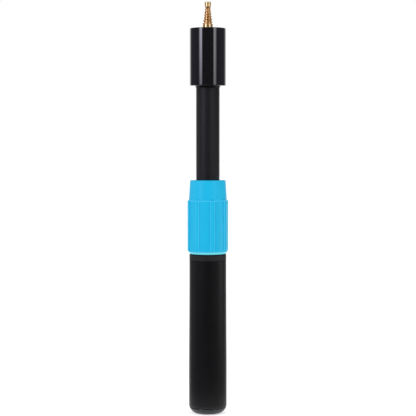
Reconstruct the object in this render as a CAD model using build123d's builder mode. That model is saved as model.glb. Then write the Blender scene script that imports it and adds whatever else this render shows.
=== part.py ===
from build123d import *
import os
from math import asin, degrees, radians, tan

# Telescopic magnetic pick-up tool, standing upright on its flat end.
# Millimetres, +Z up the tool, z = 0 on the floor under the end cap.
# The front is the -Y side. Every piece is one solid in its own file.

os.makedirs("parts", exist_ok=True)

# ---------------------------------------------------------------- clearances
running_gap = 0.05      # radial, shaft turning or sliding in a hole
bush_gap = 0.10         # radial, guide bush in the barrel
bond_gap = 0.03         # radial, glued and pressed joints
cone_gap = 0.20         # radial, between the locking cones
thread_gap = 0.25       # radial, collar thread over ferrule thread
free_gap = 0.30         # radial, pieces that pass without guiding
end_play = 0.20         # axial, between faces that turn or part
stop_in_gap = 1.6       # axial, tube to end cap when fully in
stop_out_gap = 0.5      # axial, retaining ring to ferrule when fully out
head_gap = 1.9          # axial, head to locked collar when fully in

# ------------------------------------------------------------- driving sizes
# telescoping tube
tube_d = 16.0
tube_wall = 1.2
stroke_out = 7.0        # how far the tube still comes out from here

# barrel of the handle and its end cap
barrel_wall = 1.85
barrel_length = 105.3   # floor to ferrule flange
barrel_swell = 0.33     # radial, belly over the barrel's top
belly_height = 30.0     # widest place above the floor
straight_top = 16.0     # plain length under the flange
foot_round = 6.2        # radius of the rounded lower end
foot_extra = 0.28       # radial, foot over the barrel's top
cap_height = 4.45       # seam between end cap and barrel
cap_plug_length = 8.3
cap_wall = 2.4
cap_seam = 0.2          # bevel on the cap's edge at the seam

# ferrule, the ring at the top of the barrel that carries the thread
ferrule_wall = 2.35
ferrule_bore_gap = 0.40
ferrule_plug_length = 7.1
flange_height = 4.5
flange_edge = 0.25
thread_length = 21.2
seal_width = 1.5
seal_height = 2.2       # middle of the seal above the flange

# split collet
collet_wall = 0.7       # at its thin ends
collet_taper_length = 6.0
collet_rim_length = 11.6
collet_angle = 8.0      # degrees, half angle of both cones
collet_slits = 4        # from each end
slit_width = 1.2
slit_bridge = 4.0       # uncut length at the closed end of a slit

# lock collar
collar_wall = 2.4       # from thread bore to the face between the ribs
rib_height = 0.65
rib_count = 8
rib_angle = 13.0        # degrees, one raised rib
rib_turn = 13.4         # degrees, middle of the front rib from -Y towards +X
rib_edge = 0.3
ledge = 0.25            # bevel round the top of the ribbed face and the ribs
nose_height = 13.5
nose_inset = 0.4        # radial, nose inside the ribbed face at its foot
nose_taper = 0.8        # radial, over the height of the nose
nose_edge = 0.6
foot_bevel_height = 1.75  # round the foot, up to the face between the ribs
foot_bevel_cut = 1.15   # radial, how far the foot draws in there
rib_foot_height = 0.3   # bevel of a rib's lower end
thread_relief = 2.5     # thread bore above the ferrule's end
lip_height = 10.0
wiper_height = 2.3
wiper_depth = 1.4
wiper_inset = 2.6       # from the collar's mouth down to the wiper
washer_thickness = 1.1
washer_width = 1.1

# guide bush and what holds it on the tube
bush_length = 11.6
bush_slit = 1.6
bush_edge = 0.5
ring_thickness = 1.0
ring_width = 1.8
ring_groove = 0.4
ring_opening = 3.0
plug_flange_height = 2.4
plug_flange_width = 1.4
plug_spigot_length = 10.0
plug_bore_d = 7.0

# head
head_d = 24.8
head_wall = 1.5
head_floor = 2.0
head_edge = 0.5
boss_height = 1.3
boss_out = 0.6          # radial, boss over the tube where it meets the head
boss_in = 0.1           # radial, boss over the tube where it meets the tube
adapter_spigot_length = 22.0
adapter_bore_d = 6.0
stud_d = 8.0            # stud that holds the head on
stud_over = 0.3         # stud above its nut
head_washer_d = 16.0
head_washer_thickness = 1.4
head_nut_flats = 13.0
head_nut_height = 6.2
head_space = 1.6        # between the two studs inside the head
face_inset = 0.3
face_thickness = 2.9
magnet_bore_d = 8.0
magnet_thickness = 8.0
magnet_count = 2
liner_wall = 0.6
iron_thickness = 3.5

# brass tip
shank_d = 5.0
shank_over = 1.0        # shank beyond its nut
tip_nut_flats = 8.0
tip_nut_height = 4.0
base_d = 7.0
base_height = 3.3
base_edge = 0.35
worm_height = 10.4      # threaded taper between base and button
worm_pitch = 1.905
worm_start = 2.4        # first turn starts this far above the face
worm_turns = 6.25
worm_low_r = 3.7        # crest radius where the worm starts
worm_slope = 0.137      # crest radius lost per mm upwards
tooth_depth = 0.95
tooth_half = 0.88       # half the tooth's width at its root
crest_half = 0.08
root_low_r = 2.8
root_top_r = 1.65
neck_height = 1.3
button_d = 4.4
button_height = 3.1
button_edge = 0.25

# ----------------------------------------------------- radii that follow them
tube_r = tube_d / 2
tube_bore_r = tube_r - tube_wall
ferrule_bore_r = tube_r + ferrule_bore_gap
ferrule_r = ferrule_bore_r + ferrule_wall
barrel_bore_r = ferrule_r + bond_gap
barrel_r = barrel_bore_r + barrel_wall
belly_r = barrel_r + barrel_swell
foot_r = barrel_r + foot_extra
foot_flat_r = foot_r - foot_round
thread_bore_r = ferrule_r + thread_gap
face_r = thread_bore_r + collar_wall
rib_r = face_r + rib_height
nose_foot_r = face_r - nose_inset
nose_top_r = nose_foot_r - nose_taper
collet_bore_r = tube_r + running_gap
collet_end_r = collet_bore_r + collet_wall
collet_r = collet_end_r + collet_taper_length * tan(radians(collet_angle))
lip_r = tube_r + free_gap
head_r = head_d / 2
head_bore_r = head_r - head_wall
magnet_r = head_bore_r - bond_gap - liner_wall - bond_gap
stud_r = stud_d / 2
shank_r = shank_d / 2

# -------------------------------------------------- stations that follow them
cap_plug_top_z = cap_height + cap_plug_length
ferrule_z = barrel_length - ferrule_plug_length
collar_z = barrel_length + flange_height
thread_top_z = collar_z + thread_length
seat_z = thread_top_z - collet_taper_length
collet_z = seat_z + end_play
collet_rim_z = collet_z + collet_taper_length
collet_shoulder_z = collet_rim_z + collet_rim_length
collet_top_z = collet_shoulder_z + collet_taper_length
washer_z = collet_top_z + end_play
lip_z = washer_z + washer_thickness
collar_top_z = lip_z + lip_height
nose_z = collar_top_z - nose_height
wiper_z = collar_top_z - wiper_inset - wiper_height

carriage_length = plug_flange_height + end_play + bush_length + end_play + ring_thickness
travel = ferrule_z - stop_out_gap - carriage_length - stop_in_gap - cap_plug_top_z
stroke_in = travel - stroke_out
plug_z = cap_plug_top_z + stop_in_gap + stroke_in
tube_z = plug_z + plug_flange_height
bush_z = tube_z + end_play
ring_z = bush_z + bush_length + end_play
tube_top_z = collar_top_z + stroke_in + head_gap

head_z = tube_top_z + boss_height
head_washer_z = head_z + head_floor
head_nut_z = head_washer_z + head_washer_thickness
stud_top_z = head_nut_z + head_nut_height + stud_over
shank_z = stud_top_z + head_space
tip_nut_z = shank_z + shank_over
iron_z = tip_nut_z + tip_nut_height
magnet_z = iron_z + iron_thickness
plate_z = magnet_z + magnet_count * magnet_thickness
face_z = plate_z + face_thickness
head_top_z = face_z + face_inset
worm_z = face_z + base_height
neck_z = worm_z + worm_height
button_z = neck_z + neck_height
tip_z = button_z + button_height

print(f"collar {collar_z:.1f} to {collar_top_z:.1f}, head {head_z:.1f} to {head_top_z:.1f}")
print(f"overall height {tip_z:.2f} mm, stroke in {stroke_in:.1f} mm, out {stroke_out:.1f} mm")


# ================================================================ handle body
# Barrel: a hollow grip that widens very slightly to its belly and has a deeply
# rounded lower end, which the end cap finishes below the seam.
foot_centre = (foot_flat_r, foot_round)
seam_angle = -degrees(asin((foot_round - cap_height) / foot_round))

with BuildPart() as barrel:
    with BuildSketch(Plane.XZ):
        with BuildLine():
            seam = CenterArc(foot_centre, foot_round, seam_angle, -seam_angle)
            Polyline(
                seam @ 1,
                (belly_r, belly_height),
                (barrel_r, barrel_length - straight_top),
                (barrel_r, barrel_length),
                (barrel_bore_r, barrel_length),
                (barrel_bore_r, cap_height),
                seam @ 0,
            )
        make_face()
    revolve(axis=Axis.Z)
barrel.part.label = "barrel"
export_step(barrel.part, "parts/barrel.step")

# End cap: the flat foot and the lower half of the rounding, with a hollow
# plug that is glued up into the barrel.
with BuildPart() as end_cap:
    cap_plug_r = barrel_bore_r - bond_gap
    with BuildSketch(Plane.XZ):
        with BuildLine():
            rounding = CenterArc(foot_centre, foot_round, -90, seam_angle + 90)
            Polyline(
                rounding @ 1,
                (cap_plug_r, cap_height),
                (cap_plug_r, cap_plug_top_z),
                (cap_plug_r - cap_wall, cap_plug_top_z),
                (cap_plug_r - cap_wall, cap_height),
                (0, cap_height),
                (0, 0),
                rounding @ 0,
            )
        make_face()
    revolve(axis=Axis.Z)
    seam_rim = end_cap.edges().filter_by(GeomType.CIRCLE).group_by(SortBy.RADIUS)[-1]
    chamfer(seam_rim, cap_seam)
end_cap.part.label = "end_cap"
export_step(end_cap.part, "parts/end_cap.step")

# Ferrule: a plug in the barrel, a flange in line with the grip, and a spigot
# for the collar's thread, whose mouth is the collet's lower cone.
seal_r = thread_bore_r - bush_gap - seal_width / 2
seal_z = collar_z + seal_height

with BuildPart() as ferrule:
    with BuildSketch(Plane.XZ):
        Polygon(
            (ferrule_bore_r, ferrule_z),
            (ferrule_r, ferrule_z),
            (ferrule_r, barrel_length),
            (barrel_r, barrel_length),
            (barrel_r, collar_z - end_play),
            (ferrule_r, collar_z - end_play),
            (ferrule_r, thread_top_z),
            (collet_r + cone_gap, thread_top_z),
            (collet_end_r + cone_gap, seat_z),
            (ferrule_bore_r, seat_z),
            align=None,
        )
    revolve(axis=Axis.Z)
    with BuildSketch(Plane.XZ):
        with Locations((seal_r, seal_z)):
            Rectangle(seal_width + 2 * bond_gap, seal_width + 2 * bond_gap)
            Rectangle(seal_width, seal_width + 2 * bond_gap, align=(Align.MIN, Align.CENTER))
    revolve(axis=Axis.Z, mode=Mode.SUBTRACT)
    flange_rim = ferrule.edges().filter_by(GeomType.CIRCLE).group_by(SortBy.RADIUS)[-1]
    chamfer(flange_rim, flange_edge)
ferrule.part.label = "ferrule"
export_step(ferrule.part, "parts/ferrule.step")

# Ferrule seal: square-section rubber ring inside the collar's skirt.
with BuildPart() as ferrule_seal:
    with BuildSketch(Plane.XZ):
        with Locations((seal_r, seal_z)):
            Rectangle(seal_width, seal_width)
    revolve(axis=Axis.Z)
ferrule_seal.part.label = "ferrule_seal"
export_step(ferrule_seal.part, "parts/ferrule_seal.step")


# ================================================================ collet body
# Split collet: a plain bore on the tube, a cone at each end and slits cut
# from the two ends in turn, so that it closes evenly on the tube.
with BuildPart() as split_collet:
    with BuildSketch(Plane.XZ):
        Polygon(
            (collet_bore_r, collet_z),
            (collet_end_r, collet_z),
            (collet_r, collet_rim_z),
            (collet_r, collet_shoulder_z),
            (collet_end_r, collet_top_z),
            (collet_bore_r, collet_top_z),
            align=None,
        )
    revolve(axis=Axis.Z)
    slit_length = collet_top_z - collet_z - slit_bridge
    slit_step = 360 / collet_slits
    for slit_z, slit_turn in ((collet_z, 0), (collet_z + slit_bridge, slit_step / 2)):
        with BuildSketch(Plane.XY.offset(slit_z)):
            with PolarLocations(collet_bore_r, collet_slits, start_angle=slit_turn):
                Rectangle(2 * collet_r - tube_r, slit_width)
        extrude(amount=slit_length, mode=Mode.SUBTRACT)
split_collet.part.label = "split_collet"
export_step(split_collet.part, "parts/split_collet.step")


# ================================================================ collar body
# Lock collar: a smooth tapered nose over a ribbed face, with a bevel round
# the foot. Inside it are the thread bore, the chamber with the upper cone,
# the washer's pocket and the wiper's groove.
washer_r = lip_r + washer_width
wiper_r = lip_r + wiper_depth

with BuildPart() as lock_collar:
    rib_top_z = nose_z - ledge
    gap_half = radians(360 / rib_count - rib_angle) / 2
    with BuildSketch(Plane.XY.offset(collar_z)) as rib_section:
        Circle(rib_r)
        with PolarLocations(0, rib_count, start_angle=rib_turn - 90 + 180 / rib_count):
            Polygon(
                (0, 0),
                (2 * rib_r, -2 * rib_r * tan(gap_half)),
                (2 * rib_r, 2 * rib_r * tan(gap_half)),
                align=None,
                mode=Mode.SUBTRACT,
            )
        Circle(face_r)
        fillet(rib_section.vertices().group_by(SortBy.DISTANCE)[-1], rib_edge)
    extrude(amount=rib_top_z - collar_z)
    with BuildSketch(Plane.XZ):
        Polygon(
            (rib_r - ledge, rib_top_z),
            (rib_r + ledge, rib_top_z),
            (rib_r + ledge, rib_top_z - 2 * ledge),
            align=None,
        )
    revolve(axis=Axis.Z, mode=Mode.SUBTRACT)
    with BuildSketch(Plane.XZ):
        bevel_top_z = collar_z + foot_bevel_height
        Polygon(
            (face_r - foot_bevel_cut, collar_z),
            (face_r, bevel_top_z),
            (rib_r, bevel_top_z + rib_foot_height),
            (rib_r + ledge, bevel_top_z + rib_foot_height),
            (rib_r + ledge, collar_z),
            align=None,
        )
    revolve(axis=Axis.Z, mode=Mode.SUBTRACT)
    with BuildSketch(Plane.XZ):
        Polygon(
            (0, rib_top_z),
            (face_r, rib_top_z),
            (face_r - ledge, nose_z),
            (nose_foot_r, nose_z),
            (nose_top_r, collar_top_z),
            (0, collar_top_z),
            align=None,
        )
    revolve(axis=Axis.Z)
    mouth_rim = lock_collar.edges().group_by(Axis.Z)[-1]
    fillet(mouth_rim, nose_edge)
    with BuildSketch(Plane.XZ):
        relief_z = thread_top_z + thread_relief
        Polygon(
            (0, collar_z),
            (thread_bore_r, collar_z),
            (thread_bore_r, relief_z),
            (collet_r + cone_gap, relief_z),
            (collet_r + cone_gap, collet_shoulder_z),
            (collet_end_r + cone_gap, collet_top_z),
            (washer_r, collet_top_z),
            (washer_r, lip_z),
            (lip_r, lip_z),
            (lip_r, wiper_z),
            (wiper_r, wiper_z),
            (wiper_r, wiper_z + wiper_height),
            (lip_r, wiper_z + wiper_height),
            (lip_r, collar_top_z),
            (0, collar_top_z),
            align=None,
        )
    revolve(axis=Axis.Z, mode=Mode.SUBTRACT)
lock_collar.part.label = "lock_collar"
export_step(lock_collar.part, "parts/lock_collar.step")

# Thrust washer: what the collet's end turns against.
with BuildPart() as thrust_washer:
    with BuildSketch(Plane.XY.offset(washer_z)):
        Circle(washer_r - bond_gap)
        Circle(lip_r, mode=Mode.SUBTRACT)
    extrude(amount=washer_thickness)
thrust_washer.part.label = "thrust_washer"
export_step(thrust_washer.part, "parts/thrust_washer.step")

# Wiper ring: keeps grit off the tube where it enters the collar.
with BuildPart() as wiper_ring:
    with BuildSketch(Plane.XY.offset(wiper_z)):
        Circle(wiper_r - bond_gap)
        Circle(tube_r + running_gap, mode=Mode.SUBTRACT)
    extrude(amount=wiper_height - bond_gap)
wiper_ring.part.label = "wiper_ring"
export_step(wiper_ring.part, "parts/wiper_ring.step")


# ============================================================== carriage body
# Guide bush: a split plastic sleeve that centres the tube in the barrel.
with BuildPart() as guide_bush:
    with BuildSketch(Plane.XY.offset(bush_z)):
        Circle(barrel_bore_r - bush_gap)
        Circle(tube_r + running_gap, mode=Mode.SUBTRACT)
        Rectangle(barrel_r, bush_slit, align=(Align.MIN, Align.CENTER), mode=Mode.SUBTRACT)
    extrude(amount=bush_length)
    bush_rims = guide_bush.edges().filter_by(GeomType.CIRCLE).group_by(SortBy.RADIUS)[-1]
    chamfer(bush_rims, bush_edge)
guide_bush.part.label = "guide_bush"
export_step(guide_bush.part, "parts/guide_bush.step")


# ================================================================== tube body
# Inner tube: thin tube with a groove near its lower end for the ring.
with BuildPart() as inner_tube:
    with BuildSketch(Plane.XY.offset(tube_z)):
        Circle(tube_r)
        Circle(tube_bore_r, mode=Mode.SUBTRACT)
    extrude(amount=tube_top_z - tube_z)
    with BuildSketch(Plane.XY.offset(ring_z - bond_gap)):
        Circle(tube_r + 1)
        Circle(tube_r - ring_groove, mode=Mode.SUBTRACT)
    extrude(amount=ring_thickness + 2 * bond_gap, mode=Mode.SUBTRACT)
inner_tube.part.label = "inner_tube"
export_step(inner_tube.part, "parts/inner_tube.step")

# Retaining ring: open steel ring above the bush, which meets the ferrule
# when the tube is fully out.
with BuildPart() as retaining_ring:
    with BuildSketch(Plane.XY.offset(ring_z)):
        Circle(tube_r - ring_groove + bond_gap + ring_width)
        Circle(tube_r - ring_groove + bond_gap, mode=Mode.SUBTRACT)
        Rectangle(barrel_r, ring_opening, align=(Align.MAX, Align.CENTER), mode=Mode.SUBTRACT)
    extrude(amount=ring_thickness)
retaining_ring.part.label = "retaining_ring"
export_step(retaining_ring.part, "parts/retaining_ring.step")

# Tube plug: closes the tube's lower end and carries the bush from below.
with BuildPart() as tube_plug:
    with BuildSketch(Plane.XY.offset(plug_z)):
        Circle(tube_r + plug_flange_width)
    extrude(amount=plug_flange_height)
    with BuildSketch(Plane.XY.offset(tube_z)):
        Circle(tube_bore_r - bond_gap)
    extrude(amount=plug_spigot_length)
    with BuildSketch(Plane.XY.offset(tube_z + plug_spigot_length)):
        Circle(plug_bore_d / 2)
    extrude(amount=-plug_spigot_length, mode=Mode.SUBTRACT)
tube_plug.part.label = "tube_plug"
export_step(tube_plug.part, "parts/tube_plug.step")

# Head adapter: spigot glued into the tube, a tapered boss that shows under
# the head, and the stud that the head is bolted to.
with BuildPart() as head_adapter:
    with BuildSketch(Plane.XZ):
        spigot_r = tube_bore_r - bond_gap
        spigot_z = tube_top_z - adapter_spigot_length
        Polygon(
            (adapter_bore_d / 2, spigot_z),
            (spigot_r, spigot_z),
            (spigot_r, tube_top_z),
            (tube_r + boss_in, tube_top_z),
            (tube_r + boss_out, head_z),
            (stud_r - running_gap, head_z),
            (stud_r - running_gap, stud_top_z),
            (0, stud_top_z),
            (0, tube_top_z),
            (adapter_bore_d / 2, tube_top_z),
            align=None,
        )
    revolve(axis=Axis.Z)
head_adapter.part.label = "head_adapter"
export_step(head_adapter.part, "parts/head_adapter.step")

# Head sleeve: the gloss cup that holds the magnets.
with BuildPart() as head_sleeve:
    with BuildSketch(Plane.XY.offset(head_z)):
        Circle(head_r)
    extrude(amount=head_top_z - head_z)
    fillet(head_sleeve.edges().filter_by(GeomType.CIRCLE), head_edge)
    with BuildSketch(Plane.XY.offset(head_washer_z)):
        Circle(head_bore_r)
    extrude(amount=head_top_z - head_washer_z, mode=Mode.SUBTRACT)
    with BuildSketch(Plane.XY.offset(head_z)):
        Circle(stud_r)
    extrude(amount=head_floor, mode=Mode.SUBTRACT)
head_sleeve.part.label = "head_sleeve"
export_step(head_sleeve.part, "parts/head_sleeve.step")

# Head washer and nut: clamp the sleeve on the adapter's boss.
with BuildPart() as head_washer:
    with BuildSketch(Plane.XY.offset(head_washer_z)):
        Circle(head_washer_d / 2)
        Circle(stud_r, mode=Mode.SUBTRACT)
    extrude(amount=head_washer_thickness)
head_washer.part.label = "head_washer"
export_step(head_washer.part, "parts/head_washer.step")

with BuildPart() as head_nut:
    with BuildSketch(Plane.XY.offset(head_nut_z)):
        RegularPolygon(head_nut_flats / 2, 6, major_radius=False)
        Circle(stud_r, mode=Mode.SUBTRACT)
    extrude(amount=head_nut_height)
head_nut.part.label = "head_nut"
export_step(head_nut.part, "parts/head_nut.step")

# Back iron: steel disc behind the magnets, clamped by the tip's nut.
with BuildPart() as back_iron:
    with BuildSketch(Plane.XY.offset(iron_z)):
        Circle(head_bore_r - bond_gap)
        Circle(shank_r, mode=Mode.SUBTRACT)
    extrude(amount=iron_thickness)
back_iron.part.label = "back_iron"
export_step(back_iron.part, "parts/back_iron.step")

# Ring magnets: a stack, poles on their flat faces.
for place, magnet_name in enumerate(("rear_magnet", "front_magnet")):
    with BuildPart() as ring_magnet:
        with BuildSketch(Plane.XY.offset(magnet_z + place * magnet_thickness)):
            Circle(magnet_r)
            Circle(magnet_bore_d / 2, mode=Mode.SUBTRACT)
        extrude(amount=magnet_thickness)
    ring_magnet.part.label = magnet_name
    export_step(ring_magnet.part, f"parts/{magnet_name}.step")

# Magnet liner: thin plastic ring that keeps the stack off the sleeve.
with BuildPart() as magnet_liner:
    with BuildSketch(Plane.XY.offset(magnet_z)):
        Circle(head_bore_r - bond_gap)
        Circle(magnet_r + bond_gap, mode=Mode.SUBTRACT)
    extrude(amount=magnet_count * magnet_thickness)
magnet_liner.part.label = "magnet_liner"
export_step(magnet_liner.part, "parts/magnet_liner.step")

# Face plate: the pick-up face, a little inside the sleeve's rim.
with BuildPart() as face_plate:
    with BuildSketch(Plane.XY.offset(plate_z)):
        Circle(head_bore_r - bond_gap)
        Circle(shank_r, mode=Mode.SUBTRACT)
    extrude(amount=face_thickness)
face_plate.part.label = "face_plate"
export_step(face_plate.part, "parts/face_plate.step")

# Brass tip: shank, base, tapered core with a button end, and the worm, a
# right-hand screw thread whose crests fall in towards the button and whose
# first turn is trimmed flush with the base.
with BuildPart() as brass_tip:
    with BuildSketch(Plane.XZ):
        with BuildLine():
            Polyline(
                (0, shank_z),
                (shank_r - running_gap, shank_z),
                (shank_r - running_gap, face_z),
                (base_d / 2, face_z),
                (base_d / 2, worm_z - base_edge),
                (base_d / 2 - base_edge, worm_z),
                (root_low_r, worm_z),
                (root_top_r, neck_z),
                (button_d / 2, button_z),
                (button_d / 2, tip_z - button_edge),
                (button_d / 2 - button_edge, tip_z),
                (0, tip_z),
                (0, shank_z),
            )
        make_face()
    revolve(axis=Axis.Z)
    worm_foot_z = face_z + worm_start
    with BuildLine():
        crest_line = Helix(
            pitch=worm_pitch,
            height=worm_turns * worm_pitch,
            radius=worm_low_r,
            center=(0, 0, worm_foot_z),
            cone_angle=-degrees(worm_slope),
        )
    with BuildSketch(Plane.XZ):
        Polygon(
            (worm_low_r - tooth_depth, worm_foot_z - tooth_half),
            (worm_low_r, worm_foot_z - crest_half),
            (worm_low_r, worm_foot_z + crest_half),
            (worm_low_r - tooth_depth, worm_foot_z + tooth_half),
            align=None,
        )
    sweep(path=crest_line, is_frenet=True)
    with BuildSketch(Plane.XY.offset(face_z)):
        Circle(base_d)
        Circle(base_d / 2, mode=Mode.SUBTRACT)
    extrude(amount=base_height, mode=Mode.SUBTRACT)
brass_tip.part.label = "brass_tip"
export_step(brass_tip.part, "parts/brass_tip.step")

# Tip nut: draws the tip, the face plate and the magnets together.
with BuildPart() as tip_nut:
    with BuildSketch(Plane.XY.offset(tip_nut_z)):
        RegularPolygon(tip_nut_flats / 2, 6, major_radius=False)
        Circle(shank_r, mode=Mode.SUBTRACT)
    extrude(amount=tip_nut_height)
tip_nut.part.label = "tip_nut"
export_step(tip_nut.part, "parts/tip_nut.step")
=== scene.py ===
# %% [markdown]
# # A telescopic magnetic pick-up tool
# The CAD model gives every piece at its real size. This lesson gives those
# pieces their finishes and puts the tool in a small photo studio: a pale
# floor, a white backdrop, two tall soft boxes, three low cards and a long
# lens. All lengths are in metres, +Z runs up the tool and -Y is its front.

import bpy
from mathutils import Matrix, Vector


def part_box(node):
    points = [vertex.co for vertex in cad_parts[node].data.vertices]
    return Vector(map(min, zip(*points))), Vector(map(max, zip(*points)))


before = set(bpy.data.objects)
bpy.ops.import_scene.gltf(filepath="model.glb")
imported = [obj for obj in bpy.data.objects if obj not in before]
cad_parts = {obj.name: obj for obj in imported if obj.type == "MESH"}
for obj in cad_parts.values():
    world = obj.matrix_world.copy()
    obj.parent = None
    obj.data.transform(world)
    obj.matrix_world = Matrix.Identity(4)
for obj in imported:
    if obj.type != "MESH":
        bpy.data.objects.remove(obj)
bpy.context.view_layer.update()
print("pieces:", len(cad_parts))

# %% [markdown]
# ## Writing shader maths as Python
# A node tree is a sum in disguise. Wiring Math nodes by hand hides the sum,
# so one small class wraps a socket and lets it be added, subtracted,
# multiplied and divided like a number. A colour must not pass through a Math
# node, which would turn it grey, so colours go through Mix nodes instead.

# %% A socket that can be used in sums
import math

import bpy
from mathutils import Vector

MM = 0.001


class Wire:
    """One output socket of a node tree, usable in ordinary sums."""

    def __init__(self, finish, socket):
        self.finish = finish
        self.socket = socket

    def sum(self, operation, first, second=0.0, third=0.0):
        sockets = {0: first, 1: second, 2: third}
        return self.finish.node("ShaderNodeMath", {"operation": operation}, sockets)

    def __add__(self, other):
        return self.sum("ADD", self, other)

    def __radd__(self, other):
        return self.sum("ADD", other, self)

    def __sub__(self, other):
        return self.sum("SUBTRACT", self, other)

    def __rsub__(self, other):
        return self.sum("SUBTRACT", other, self)

    def __mul__(self, other):
        return self.sum("MULTIPLY", self, other)

    def __rmul__(self, other):
        return self.sum("MULTIPLY", other, self)

    def __truediv__(self, other):
        return self.sum("DIVIDE", self, other)

    def __rtruediv__(self, other):
        return self.sum("DIVIDE", other, self)

    def size(self):
        return self.sum("ABSOLUTE", self)

    def ramp(self, low, high):
        """0 below low, 1 above high, and a smooth rise between them."""
        settings = {"interpolation_type": "SMOOTHSTEP"}
        sockets = {"Value": self, "From Min": low, "From Max": high}
        return self.finish.node("ShaderNodeMapRange", settings, sockets)


# %% [markdown]
# ## One method for every node
# A finish is a node tree with a surface at its end. Each node is made by one
# call that takes its type, its settings and what its sockets hold, so that a
# finish reads from the top down like a recipe.

# %% A finish is built from nodes
class Finish:
    """A node tree: a material's, the world's or a lamp's."""

    def __init__(self, name, tree=None):
        if tree is None:
            self.material = bpy.data.materials.new(name)
            self.material.use_nodes = True
            tree = self.material.node_tree
        self.tree = tree
        self.tree.nodes.clear()

    def node(self, kind, settings=None, sockets=None, out=0):
        """Makes one node and gives back one of its outputs, by place or name."""
        made = self.tree.nodes.new(kind)
        for name, value in (settings or {}).items():
            setattr(made, name, value)
        for name, value in (sockets or {}).items():
            self.feed(self.find(made.inputs, name), value)
        return Wire(self, self.find(made.outputs, out)) if len(made.outputs) else None

    def find(self, sockets, name):
        if isinstance(name, int):
            return sockets[name]
        for socket in sockets:
            if socket.enabled and name in (socket.identifier, socket.name):
                return socket
        raise KeyError(name)

    def feed(self, socket, value):
        if isinstance(value, Wire):
            self.tree.links.new(value.socket, socket)
        elif socket.type == "RGBA":
            socket.default_value = (*value, 1.0)
        else:
            socket.default_value = value

    def blend(self, factor, first, second):
        """A colour between two colours."""
        sockets = {"Factor_Float": factor, "A_Color": first, "B_Color": second}
        return self.node("ShaderNodeMix", {"data_type": "RGBA"}, sockets, out="Result_Color")

    def noise(self, place, size, detail=2.0):
        """Soft noise, 0 to 1, whose lumps are about size across."""
        sockets = {"Vector": place, "Scale": 1.0 / size, "Detail": detail}
        return self.node("ShaderNodeTexNoise", {}, sockets)

    def place(self, stretch=(1.0, 1.0, 1.0)):
        """Where the shaded point is on the piece, in metres, wherever the piece is."""
        spot = self.node("ShaderNodeTexCoord", out="Object")
        sockets = {0: spot, 1: stretch}
        return self.node("ShaderNodeVectorMath", {"operation": "MULTIPLY"}, sockets)

    def along(self, vector, axis):
        """One of the three numbers of a vector."""
        return self.node("ShaderNodeSeparateXYZ", {}, {0: vector}, out=axis)

    def bump(self, height, depth):
        """A relief of that depth in metres."""
        sockets = {"Height": height, "Distance": depth, "Strength": 1.0}
        return self.node("ShaderNodeBump", {}, sockets)

    def either(self, factor, first, second):
        """A shader between two shaders."""
        return self.node("ShaderNodeMixShader", {}, {0: factor, 1: first, 2: second})

    def surface(self, **sockets):
        """The shader at the end, with its sockets named in lower case."""
        named = {}
        for name, value in sockets.items():
            title = name.replace("_", " ").title()
            named[title.replace("Ior", "IOR")] = value
        shader = self.node("ShaderNodeBsdfPrincipled", {}, named)
        self.node("ShaderNodeOutputMaterial", {}, {"Surface": shader})
        return self.material


def linear(red, green, blue):
    """An 8-bit screen colour as the linear numbers that shaders use."""
    straight = []
    for value in (red, green, blue):
        shade = value / 255
        low = shade / 12.92
        high = ((shade + 0.055) / 1.055) ** 2.4
        straight.append(low if shade <= 0.04045 else high)
    return tuple(straight)


def coat(material, *names):
    """Puts a finish on CAD pieces in place of the plain one they come with."""
    for name in names:
        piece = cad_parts[name]
        piece.data.materials.clear()
        piece.data.materials.append(material)
    print(material.name, "on", ", ".join(names))


# %% [markdown]
# ## Satin plastic of the grip
# The barrel, its end cap and the ferrule above it are moulded in black
# plastic. The mould was etched, so the skin is a fine even grain that spreads
# each soft box into a wide dull band. A bump of about a hundredth of a
# millimetre gives that, and the roughness drifts a little, as it does where
# hands have been. The ferrule goes up into the collar, and hardly any light
# gets into that joint, so painted shade takes its colour down to near black
# there. An ambient occlusion node could find such a place by itself, but the
# collar rises only a millimetre as it is turned, so a mask on the height is
# simpler, and what it shows then still reads as the shade of an opened joint.
# The end cap is the glossier moulding, with a violet cast, and wear has
# rounded its upper edge: the last half millimetre leans in and is smoother,
# which draws the seam.

# %% Satin black
GRAIN = 0.35 * MM
GRAIN_DEPTH = 0.008 * MM
HANDLED = 14 * MM           # patches where hands have been
RUBBED = 3 * MM             # small worn spots
UPRIGHT = (1.0, 1.0, 0.25)  # draws them out four times along Z
GAP_DARKENS = 1.0 * MM      # below the joint
GAP_BLACK = 0.4 * MM
GAP_SHADE = (3, 3, 4)
RIM_BAND = 0.5 * MM
RIM_SLOPE = 0.8
RIM_FADE = 0.1 * MM
RIM_POLISH = 0.10           # taken off the roughness


def satin_black(name, shade, dull, shine=0.3, gap=None, rim=None):
    """Gap is the height, if any, where the piece goes into a dark joint above it.

    Rim is the height, if any, of an upper edge that wear has rounded.
    """
    finish = Finish(name)
    spot = finish.place()
    height = finish.along(spot, "Z")
    skin = finish.noise(spot, GRAIN, detail=3.0)
    drift = finish.noise(spot, HANDLED, detail=2.0)
    rub = finish.noise(finish.place(UPRIGHT), RUBBED, detail=4.0).ramp(0.55, 0.8)
    paler = [value + 7 for value in shade]
    colour = finish.blend(drift * 0.6 + rub * 0.15, linear(*shade), linear(*paler))
    rough = dull + (drift - 0.5) * 0.10 + rub * 0.04
    relief = skin * GRAIN_DEPTH
    if gap is not None:
        # Painted shade: the colour falls to near black just below the joint, where little
        # light gets in.
        shadow = height.ramp(gap - GAP_DARKENS, gap - GAP_BLACK)
        colour = finish.blend(shadow, colour, linear(*GAP_SHADE))
    if rim is not None:
        over = height - (rim - RIM_BAND)
        relief = relief - over.sum("MAXIMUM", over, 0.0) * RIM_SLOPE
        rough = rough - over.ramp(0.0, RIM_FADE) * RIM_POLISH
    return finish.surface(
        base_color=colour,
        roughness=rough,
        specular_ior_level=shine,
        normal=finish.bump(relief, 1.0),
    )


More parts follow.
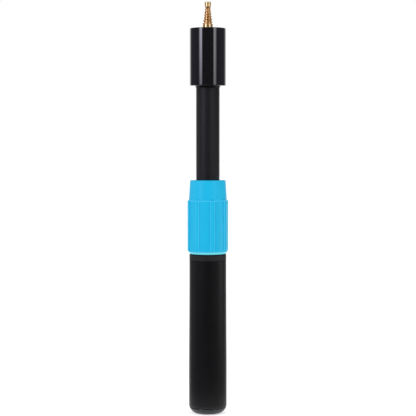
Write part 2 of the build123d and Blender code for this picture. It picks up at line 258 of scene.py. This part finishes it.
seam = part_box("barrel")[0][2]
collar_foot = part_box("lock_collar")[0][2]
coat(satin_black("grip_plastic", (12, 12, 14), dull=0.42), "barrel", "tube_plug")
coat(satin_black("cap_plastic", (12, 10, 22), dull=0.34, shine=0.54, rim=seam), "end_cap")
coat(satin_black("ferrule_plastic", (36, 35, 38), dull=0.50, gap=collar_foot), "ferrule")

# %% [markdown]
# ## Coated tube
# The sliding tube is drawn aluminium with a matt black coat. Sliding through
# the collar leaves hair lines along it, so its noise is stretched along Z
# until the lumps become streaks.

# %% Tube coat
TUBE_BLACK = (26, 26, 29)
TUBE_WORN = (34, 34, 37)
HAIR_LINE = 0.25 * MM
STREAKED = (1.0, 1.0, 0.02)     # draws the noise out fifty times along Z
TUBE_SKIN = 0.22 * MM
TUBE_PATCH = 18 * MM


def tube_coat(name):
    finish = Finish(name)
    spot = finish.place()
    streak = finish.noise(finish.place(STREAKED), HAIR_LINE)
    skin = finish.noise(spot, TUBE_SKIN)
    drift = finish.noise(spot, TUBE_PATCH)
    worn = streak.ramp(0.45, 0.75) * 0.5
    colour = finish.blend(worn, linear(*TUBE_BLACK), linear(*TUBE_WORN))
    relief = skin * 0.7 + streak * 0.3
    return finish.surface(
        base_color=colour,
        roughness=0.40 + (drift - 0.5) * 0.08 + streak * 0.05,
        specular_ior_level=0.35,
        normal=finish.bump(relief, 0.005 * MM),
    )


coat(tube_coat("tube_coat"), "inner_tube")

# %% [markdown]
# ## Gloss lacquer of the head
# The head is sprayed and polished, so it mirrors the soft boxes with crisp
# edges. Real lacquer is never quite flat: a slow ripple, called orange peel,
# makes the edges of the reflections waver a little.

# %% Gloss lacquer
PEEL = 2.2 * MM
PEEL_DEPTH = 0.004 * MM
DUST = 0.3 * MM


def lacquer(name, shade, dull=0.05, clear=0.0):
    """Clear is the weight of the polished top coat."""
    finish = Finish(name)
    spot = finish.place()
    peel = finish.noise(spot, PEEL, detail=1.0)
    dust = finish.noise(spot, DUST).ramp(0.68, 0.8)
    dusty = [value + 12 for value in shade]
    return finish.surface(
        base_color=finish.blend(dust * 0.2, linear(*shade), linear(*dusty)),
        roughness=dull + dust * 0.10 + peel * 0.03,
        normal=finish.bump(peel, PEEL_DEPTH),
        coat_weight=clear,
        coat_roughness=0.03,
        coat_ior=1.5,
    )


coat(lacquer("head_lacquer", (19, 18, 21), clear=1.0), "head_sleeve", "face_plate")
coat(lacquer("boss_lacquer", (10, 10, 11), dull=0.35), "head_adapter")

# %% [markdown]
# ## Blue plastic of the collar
# The collar is moulded in solid cyan plastic with a finer skin than the grip.
# Hands polish the edges of its eight ribs a little smoother, and a painted
# highlight makes those edges and the ledge above the ribs paler. The bevel at
# its foot is painted paler with the light of the floor below, and painted
# shade darkens the corner above each rib. Paint masks or a vertex map could
# mark those places, but they follow from two measures of the piece itself:
# the height, and the angle round the collar to the nearest rib.

# %% Measures of the collar
RIBS = 8
RIB_TURN = 13.4         # degrees, middle of the front rib from -Y towards +X
RIB_HALF = 6.5          # degrees, half of a rib's width
# The rib edges get a painted highlight and a little less roughness: where that band sits and
# the degrees where it is full and where it ends.
EDGE_HIGHLIGHT_INSET = 0.8        # degrees, from a rib's side to the middle of its polish
EDGE_HIGHLIGHT_SPAN = (0.4, 1.5)    # degrees, full polish and none
FOOT_BEVEL = 1.7 * MM
# The painted highlight on the ledge covers this height just below the nose.
NOSE_HEIGHT = 13.5 * MM
LEDGE = 0.5 * MM
# Painted shade in the corner above each rib: the heights above the nose line and the degrees
# past a rib's side where it is full and where it ends.
RIB_SHADE_HEIGHTS = (0.5 * MM, 1.3 * MM)    # above the ledge, full grime and none
RIB_SHADE_SIDES = (-3.0, 1.0)       # degrees past a rib's side, full grime and none
MASK_EDGE = 0.1 * MM


def from_rib(finish, spot):
    """Degrees round the collar to the middle of the nearest rib."""
    across = finish.along(spot, "X")
    depth = finish.along(spot, "Y")
    turn = across.sum("ARCTAN2", across, 0.0 - depth) * math.degrees(1)
    pitch = 360 / RIBS
    steps = (turn - RIB_TURN) / pitch + 0.5
    return (steps.sum("FRACT", steps) - 0.5).size() * pitch


print("ribs", RIBS, "one every", 360 / RIBS, "degrees")

# %% Blue plastic
CYAN = (8, 185, 228)
CYAN_PATCH = (14, 189, 232)
# Painted shade for the corner above each rib.
RIB_SHADE_COLOUR = (2, 160, 214)
# Painted highlight on the rib edges.
EDGE_HIGHLIGHT_COLOUR = (64, 210, 247)
# Painted highlight on the ledge above the ribs.
LEDGE_HIGHLIGHT_COLOUR = (80, 212, 248)
# Painted light from the floor on the foot bevel.
BEVEL_FLOOR_LIGHT_COLOUR = (124, 241, 255)


def blue_plastic(name):
    finish = Finish(name)
    spot = finish.place()
    height = finish.along(spot, "Z")
    away = from_rib(finish, spot)
    foot, crown = (corner[2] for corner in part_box("lock_collar"))
    bevel_top = foot + FOOT_BEVEL
    nose = crown - NOSE_HEIGHT
    below_nose = 1 - height.ramp(nose - MASK_EDGE, nose)
    ribbed = height.ramp(bevel_top, bevel_top + 2 * MASK_EDGE) * below_nose
    # Painted highlight along each rib's edges; the same mask lowers the roughness there.
    edge_highlight_and_polish = (1 - (away - RIB_HALF + EDGE_HIGHLIGHT_INSET).size().ramp(*EDGE_HIGHLIGHT_SPAN)) * ribbed
    # Painted highlight on the ledge just below the nose.
    ledge_highlight = height.ramp(nose - LEDGE - 2 * MASK_EDGE, nose - LEDGE) * below_nose
    # Painted light from the floor below, on the foot bevel.
    bevel_floor_light = 1 - height.ramp(bevel_top - 3 * MASK_EDGE, bevel_top + MASK_EDGE)
    # Painted shade in the corner above each rib, where the rib's top shades the nose.
    corner = (1 - below_nose) * (1 - (height - nose).ramp(*RIB_SHADE_HEIGHTS))
    rib_shade = corner * (1 - (away - RIB_HALF).ramp(*RIB_SHADE_SIDES))
    skin = finish.noise(spot, 0.28 * MM, detail=3.0)
    drift = finish.noise(spot, 9 * MM, detail=2.0)
    body = finish.blend(drift * 0.5, linear(*CYAN), linear(*CYAN_PATCH))
    # Painted shade above the ribs.
    body = finish.blend(rib_shade * 0.7, body, linear(*RIB_SHADE_COLOUR))
    # Painted highlight on the rib edges.
    body = finish.blend(edge_highlight_and_polish * 0.85, body, linear(*EDGE_HIGHLIGHT_COLOUR))
    # Painted highlight on the ledge.
    body = finish.blend(ledge_highlight * 0.55, body, linear(*LEDGE_HIGHLIGHT_COLOUR))
    # Painted floor light on the bevel.
    body = finish.blend(bevel_floor_light * 0.95, body, linear(*BEVEL_FLOOR_LIGHT_COLOUR))
    return finish.surface(
        base_color=body,
        roughness=0.36 + (drift - 0.5) * 0.08 - edge_highlight_and_polish * 0.06,
        specular_ior_level=0.3,
        normal=finish.bump(skin, 0.005 * MM),
    )


coat(blue_plastic("collar_plastic"), "lock_collar")

# %% [markdown]
# ## Turned brass
# The tip is turned on a lathe and lacquered, so that it stays bright. The
# lathe leaves fine rings, so the relief is noise that changes along Z only,
# with a faint tarnish in patches that lowers the shine. The thread is cut and
# not polished: it is duller and a little deeper in colour than the smooth base
# and button, and a mask on the height sets it apart. Metallic stays below 1
# because part of the light scatters in the lacquer and never meets the metal.
# The lacquer has a high index, 1.9, so it lays pale glints over a deeper gold:
# the bright parts stay nearly white and the dark parts warm.

# %% Brass
THREAD_TOP = 4.0 * MM       # below the top of the tip
THREAD_FOOT = 13.6 * MM
TOP_FADE = 0.4 * MM
FOOT_FADE = 0.3 * MM
RING = 0.09 * MM
LEVEL = (0.02, 0.02, 1.0)   # makes the noise change almost only along Z
TARNISH = 1.6 * MM
GOLD = (254, 214, 148)
TARNISHED = (228, 164, 96)
THREAD_GOLD = (236, 180, 114)
LACQUER_INDEX = 1.9


def turned_brass(name):
    finish = Finish(name)
    spot = finish.place()
    height = finish.along(spot, "Z")
    tip_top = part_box("brass_tip")[1][2]
    foot = tip_top - THREAD_FOOT
    top = tip_top - THREAD_TOP
    thread = height.ramp(foot - FOOT_FADE, foot) * (1 - height.ramp(top, top + TOP_FADE))
    rings = finish.noise(finish.place(LEVEL), RING)
    tarnish = finish.noise(spot, TARNISH, detail=3.0).ramp(0.45, 0.8)
    bright = finish.blend(tarnish * 0.5, linear(*GOLD), linear(*TARNISHED))
    return finish.surface(
        base_color=finish.blend(thread * 0.8, bright, linear(*THREAD_GOLD)),
        metallic=0.74 + thread * 0.14,
        roughness=0.16 + thread * 0.08 + tarnish * 0.08 + rings * 0.05,
        coat_weight=1.0 - thread * 0.3,
        coat_roughness=0.22,
        coat_ior=LACQUER_INDEX,
        normal=finish.bump(rings, 0.002 * MM),
    )


coat(turned_brass("tip_brass"), "brass_tip")

# %% [markdown]
# ## Pieces inside
# Nuts, discs and the retaining ring are zinc plated and the magnets nickel
# plated. The bearing pieces and the magnets' liner are natural nylon, and the
# seal and the wiper ring are rubber. They show only when a joint opens a gap,
# if at all, but each still gets the finish that a real one would have.

# %% Plated steel, nylon and rubber
def plated(name, shade, dull):
    finish = Finish(name)
    spot = finish.place()
    cloud = finish.noise(spot, 2.5 * MM, detail=3.0)
    darker = [value - 14 for value in shade]
    return finish.surface(
        base_color=finish.blend(cloud, linear(*shade), linear(*darker)),
        metallic=1.0,
        roughness=dull + cloud * 0.12,
        normal=finish.bump(finish.noise(spot, 0.2 * MM), 0.002 * MM),
    )


def plain(name, shade, dull, depth):
    finish = Finish(name)
    spot = finish.place()
    cloud = finish.noise(spot, 4 * MM, detail=2.0)
    darker = [value - 8 for value in shade]
    return finish.surface(
        base_color=finish.blend(cloud * 0.5, linear(*shade), linear(*darker)),
        roughness=dull + (cloud - 0.5) * 0.1,
        normal=finish.bump(finish.noise(spot, 0.3 * MM, detail=3.0), depth),
    )


zinc = plated("zinc_plate", (196, 198, 202), dull=0.28)
nickel = plated("nickel_plate", (204, 201, 194), dull=0.14)
nylon = plain("nylon", (226, 223, 212), dull=0.45, depth=0.004 * MM)
rubber = plain("rubber", (14, 14, 14), dull=0.70, depth=0.010 * MM)
coat(zinc, "head_washer", "head_nut", "back_iron", "tip_nut", "retaining_ring")
coat(nickel, "rear_magnet", "front_magnet")
coat(nylon, "split_collet", "thrust_washer", "guide_bush", "magnet_liner")
coat(rubber, "ferrule_seal", "wiper_ring")

# %% [markdown]
# ## The studio
# The tool stands on a pale floor that keeps its soft shadow. The floor has a
# little light of its own, which makes it white to the camera and falls on
# nothing, so the lamps stay at a plain level. Gloss black would mirror that
# white from all sides and turn grey, and a photographer stops it with black
# flags. Here the mirror rays do what flags would: they find the floor white
# behind the tool, close to it and faintly beside it, and the backdrop white
# where it is squarely behind. Everything else is a dark room, and that is what
# keeps the middle of the black pieces deep.

# %% Numbers of the studio
BLACK = (0.0, 0.0, 0.0)
WHITE = (1.0, 1.0, 1.0)
PAINT = (0.86, 0.86, 0.86)
ROOM_FRONT = (0.02, 0.02, 0.02)
ROOM_SIDE = (0.09, 0.09, 0.117)
FLOOR_GLOW = 0.50
FLOOR_HALF = 6.0
AMBIENT = 0.74

# Directions are sines: -1 is straight to the front, 0 square to the side and 1
# straight behind. The mirrored floor, the room's sides and the backdrop are
# dark before the first of a pair and full after the second.
FLOOR_BEHIND = (0.58, 0.93)
FLOOR_BESIDE = (-0.4, 0.7)
BESIDE_LIGHT = 0.33
ROOM_SIDES = (-0.7, -0.2)
BACKDROP = (0.60, 0.90)

# Distances are metres from the tool's axis: the mirrored floor is full before
# the first of a pair and dark after the second.
CLOSE_BY = (0.02, 0.08)
BESIDE_REACH = (0.1, 0.8)


def path(finish, kind):
    """1 for rays of that kind, such as "Is Camera Ray", else 0."""
    return finish.node("ShaderNodeLightPath", out=kind)


def looked_at(finish):
    """1 where the camera looks, straight or through something clear, else 0."""
    counted = path(finish, "Is Camera Ray") + path(finish, "Is Transmission Ray")
    return counted.ramp(0.0, 1.0)


print("backdrop white to the camera, lit", AMBIENT, "for the rest")

# %% The floor
def make_floor():
    half = FLOOR_HALF
    mesh = bpy.data.meshes.new("floor")
    corners = [(-half, -half, 0), (half, -half, 0), (half, half, 0), (-half, half, 0)]
    mesh.from_pydata(corners, [], [(0, 1, 2, 3)])
    floor = bpy.data.objects.new("floor", mesh)
    bpy.context.scene.collection.objects.link(floor)
    finish = Finish("floor_paint")
    paint = finish.node("ShaderNodeBsdfDiffuse", {}, {"Color": PAINT})
    glow = finish.node("ShaderNodeEmission", {}, {"Color": WHITE, "Strength": FLOOR_GLOW})
    lit = finish.node("ShaderNodeAddShader", {}, {0: paint, 1: glow})
    spot = finish.node("ShaderNodeTexCoord", out="Object")
    length = {"operation": "LENGTH"}
    away = finish.node("ShaderNodeVectorMath", length, {0: spot}, out="Value")
    depth = finish.along(spot, "Y") / away
    behind = depth.ramp(*FLOOR_BEHIND)
    beside = depth.ramp(*FLOOR_BESIDE) * (1 - away.ramp(*BESIDE_REACH))
    near = 1 - away.ramp(*CLOSE_BY)
    seen = (behind + near + beside * BESIDE_LIGHT).ramp(0.0, 1.0)
    flag = finish.node("ShaderNodeBsdfDiffuse", {}, {"Color": ROOM_FRONT})
    mirrored = finish.either(seen, flag, lit)
    shone = finish.either(path(finish, "Is Glossy Ray"), paint, mirrored)
    whole = finish.either(looked_at(finish), shone, lit)
    finish.node("ShaderNodeOutputMaterial", {}, {"Surface": whole})
    mesh.materials.append(finish.material)
    print("floor", 2 * half, "m square, glow", FLOOR_GLOW)


make_floor()

# %% The world
def make_world():
    world = bpy.data.worlds.new("studio")
    bpy.context.scene.world = world
    world.use_nodes = True
    sky = Finish("studio", world.node_tree)
    toward = sky.node("ShaderNodeTexCoord", out="Generated")
    depth = sky.along(toward, "Y")
    sides = sky.blend(depth.ramp(*ROOM_SIDES), ROOM_FRONT, ROOM_SIDE)
    room = sky.blend(depth.ramp(*BACKDROP), sides, WHITE)
    white = sky.node("ShaderNodeBackground", {}, {"Color": WHITE, "Strength": 1.0})
    mirrored = sky.node("ShaderNodeBackground", {}, {"Color": room, "Strength": 1.0})
    fill = sky.node("ShaderNodeBackground", {}, {"Color": WHITE, "Strength": AMBIENT})
    shone = sky.either(path(sky, "Is Glossy Ray"), fill, mirrored)
    whole = sky.either(looked_at(sky), shone, white)
    sky.node("ShaderNodeOutputWorld", {}, {"Surface": whole})
    print("world", world.name, "with", len(world.node_tree.nodes), "nodes")


make_world()

# %% [markdown]
# ## Soft boxes and cards
# A tall box stands nearly 50 degrees to each side of the camera and reaches
# from about the middle of the tool to 1.1 metres up. On the gloss head each
# makes one bar. Its cloth fades towards the outer side and the foot, so each
# bar has a crisp inner edge and a soft outer one, and the satin pieces lower
# down stay nearly black. Three low, wide cards, nearly square to the side, lift
# the edges of the dark pieces. The left box has a faint violet cast, because
# two lamps are seldom the same white.

# %% A soft box
COOL = (0.97, 0.96, 1.0)
VIOLET = (0.86, 0.84, 1.0)
SOFT_OUTER = 0.62       # share of the width that fades
SOFT_INNER = 0.25


def soft_box(name, turn, reach, wide, low, high, radiance, fade, tint=COOL):
    """An upright area lamp with soft sides, turn degrees from the front towards +X.

    The side away from the front fades over a longer way than the other, and
    the light rises from nothing at the foot to full over the height fade.
    """
    angle = math.radians(turn)
    tall = high - low
    spot = Vector((reach * math.sin(angle), -reach * math.cos(angle), (low + high) / 2))
    lamp = bpy.data.lights.new(name, "AREA")
    lamp.shape = "RECTANGLE"
    lamp.size = wide
    lamp.size_y = tall
    lamp.energy = radiance * math.pi * wide * tall
    lamp.color = tint
    lamp.use_nodes = True
    cloth = Finish(name, lamp.node_tree)
    spread = cloth.node("ShaderNodeNewGeometry", out="Parametric")
    up = cloth.along(spread, "Y").ramp(0.0, fade / tall)
    side = cloth.along(spread, "X")
    start, end = (SOFT_OUTER, SOFT_INNER) if turn < 0 else (SOFT_INNER, SOFT_OUTER)
    middle = side.ramp(0.0, start) * (1 - side.ramp(1 - end, 1.0))
    colour = cloth.blend(up * middle, BLACK, WHITE)
    glow = cloth.node("ShaderNodeEmission", {}, {"Color": colour, "Strength": 1.0})
    cloth.node("ShaderNodeOutputLight", {}, {"Surface": glow})
    rig = bpy.data.objects.new(name, lamp)
    rig.location = spot
    aim = Vector((0.0, 0.0, spot.z)) - spot
    rig.rotation_euler = aim.to_track_quat("-Z", "Y").to_euler()
    bpy.context.scene.collection.objects.link(rig)
    stands = [round(value, 2) for value in spot]
    print(name, "at", stands, "energy", round(lamp.energy, 2))


# %% The lamps
BOX_REACH = 0.9
BOX_TOP = 1.1
CARD_REACH = 0.5

soft_box(
    "box_left", turn=-48, reach=BOX_REACH, wide=0.46, low=0.19, high=BOX_TOP,
    radiance=5.4, fade=0.16, tint=VIOLET,
)
soft_box(
    "box_right", turn=47, reach=BOX_REACH, wide=0.44, low=0.10, high=BOX_TOP,
    radiance=3.0, fade=0.28,
)
soft_box(
    "card_left", turn=-100, reach=CARD_REACH, wide=0.50, low=0.0, high=0.05,
    radiance=1.6, fade=0.01,
)
soft_box(
    "card_left_high", turn=-100, reach=CARD_REACH, wide=0.40, low=0.12, high=0.22,
    radiance=1.2, fade=0.02,
)
soft_box(
    "card_right", turn=92, reach=CARD_REACH, wide=0.50, low=0.0, high=0.12,
    radiance=2.1, fade=0.02,
)

# %% [markdown]
# ## The camera
# A long lens from a little over a metre, above the tool's middle and looking
# slightly down, so that the tall tool keeps its sides nearly parallel. The
# angles are given as slopes: so many thousandths of the distance.

# %% Camera
REACH = 1.093
EYE_HEIGHT = 0.1926
ASIDE = 0.0001          # the tool stands a tenth of a millimetre left of the middle
LOOK_DOWN = math.atan(0.0472)
VIEW_ANGLE = 2 * math.atan(0.130)

eye = bpy.data.cameras.new("camera")
eye.sensor_fit = "HORIZONTAL"
eye.angle = VIEW_ANGLE
camera = bpy.data.objects.new("camera", eye)
camera.location = (ASIDE, -REACH, EYE_HEIGHT)
camera.rotation_euler = (math.pi / 2 - LOOK_DOWN, 0.0, 0.0)
bpy.context.scene.collection.objects.link(camera)
bpy.context.scene.camera = camera
bpy.context.scene.view_settings.view_transform = "Standard"
print("lens", round(eye.lens, 1), "mm")
